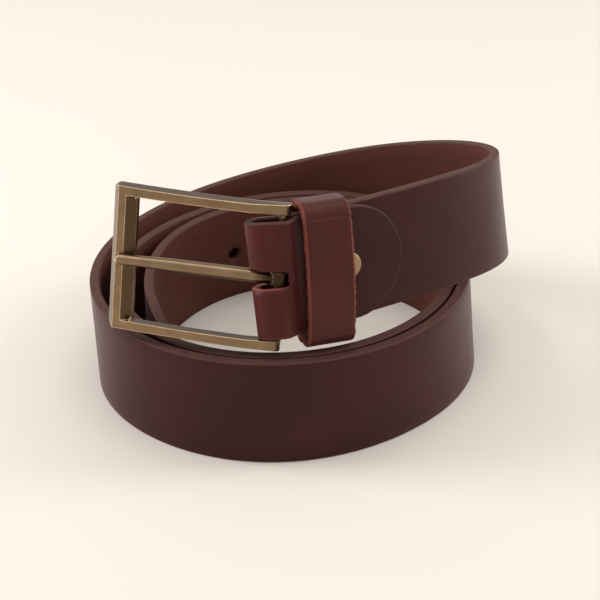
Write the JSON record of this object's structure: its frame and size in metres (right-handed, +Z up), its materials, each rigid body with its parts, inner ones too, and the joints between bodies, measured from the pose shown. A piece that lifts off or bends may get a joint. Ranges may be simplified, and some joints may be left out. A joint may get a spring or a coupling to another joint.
{
  "type": "leather belt",
  "caption": "Leather dress belt rolled up and standing on its edge, with a rectangular frame buckle, prong, keeper loop and screw-closed fold.",
  "frame": {"origin": "middle of the belt's footprint, at the level of the surface it stands on", "axes": "+Z up, -Y towards the buckle side, +X from the buckle's front bar towards the strap"},
  "size_m": [0.1473, 0.1338, 0.0867],
  "materials": {
    "strap_leather": "smooth, soft satin sheen, with paler raw edges",
    "keeper_leather": "smooth, soft satin sheen, with raw edges",
    "brass": "brushed, antique",
    "steel": "brushed"
  },
  "bodies": {
    "belt": {"strap": "strap_leather", "screw_post": "brass", "screw": "brass"},
    "buckle": {"buckle_frame": "brass", "heel_bar": "brass"},
    "tongue": {"prong": "brass"},
    "keeper": {"keeper_loop": "keeper_leather", "keeper_staple": "steel"}
  },
  "joints": [
    {"name": "buckle_swing", "type": "hinge", "parent": "belt", "child": "buckle", "pos_m": [-0.00823, -0.05376, 0.06222], "axis": [0.083, 0.2479, 0.9652], "range_deg": [0, 50]},
    {"name": "prong_swing", "type": "hinge", "parent": "buckle", "child": "tongue", "pos_m": [-0.00823, -0.05376, 0.06222], "axis": [0.083, 0.2479, 0.9652], "range_deg": [0, 32]},
    {"name": "keeper_slide", "type": "slide", "parent": "belt", "child": "keeper", "axis": [0.9426, 0.3281, 0.0624], "range_m": [-0.0003, 0.002]}
  ]
}
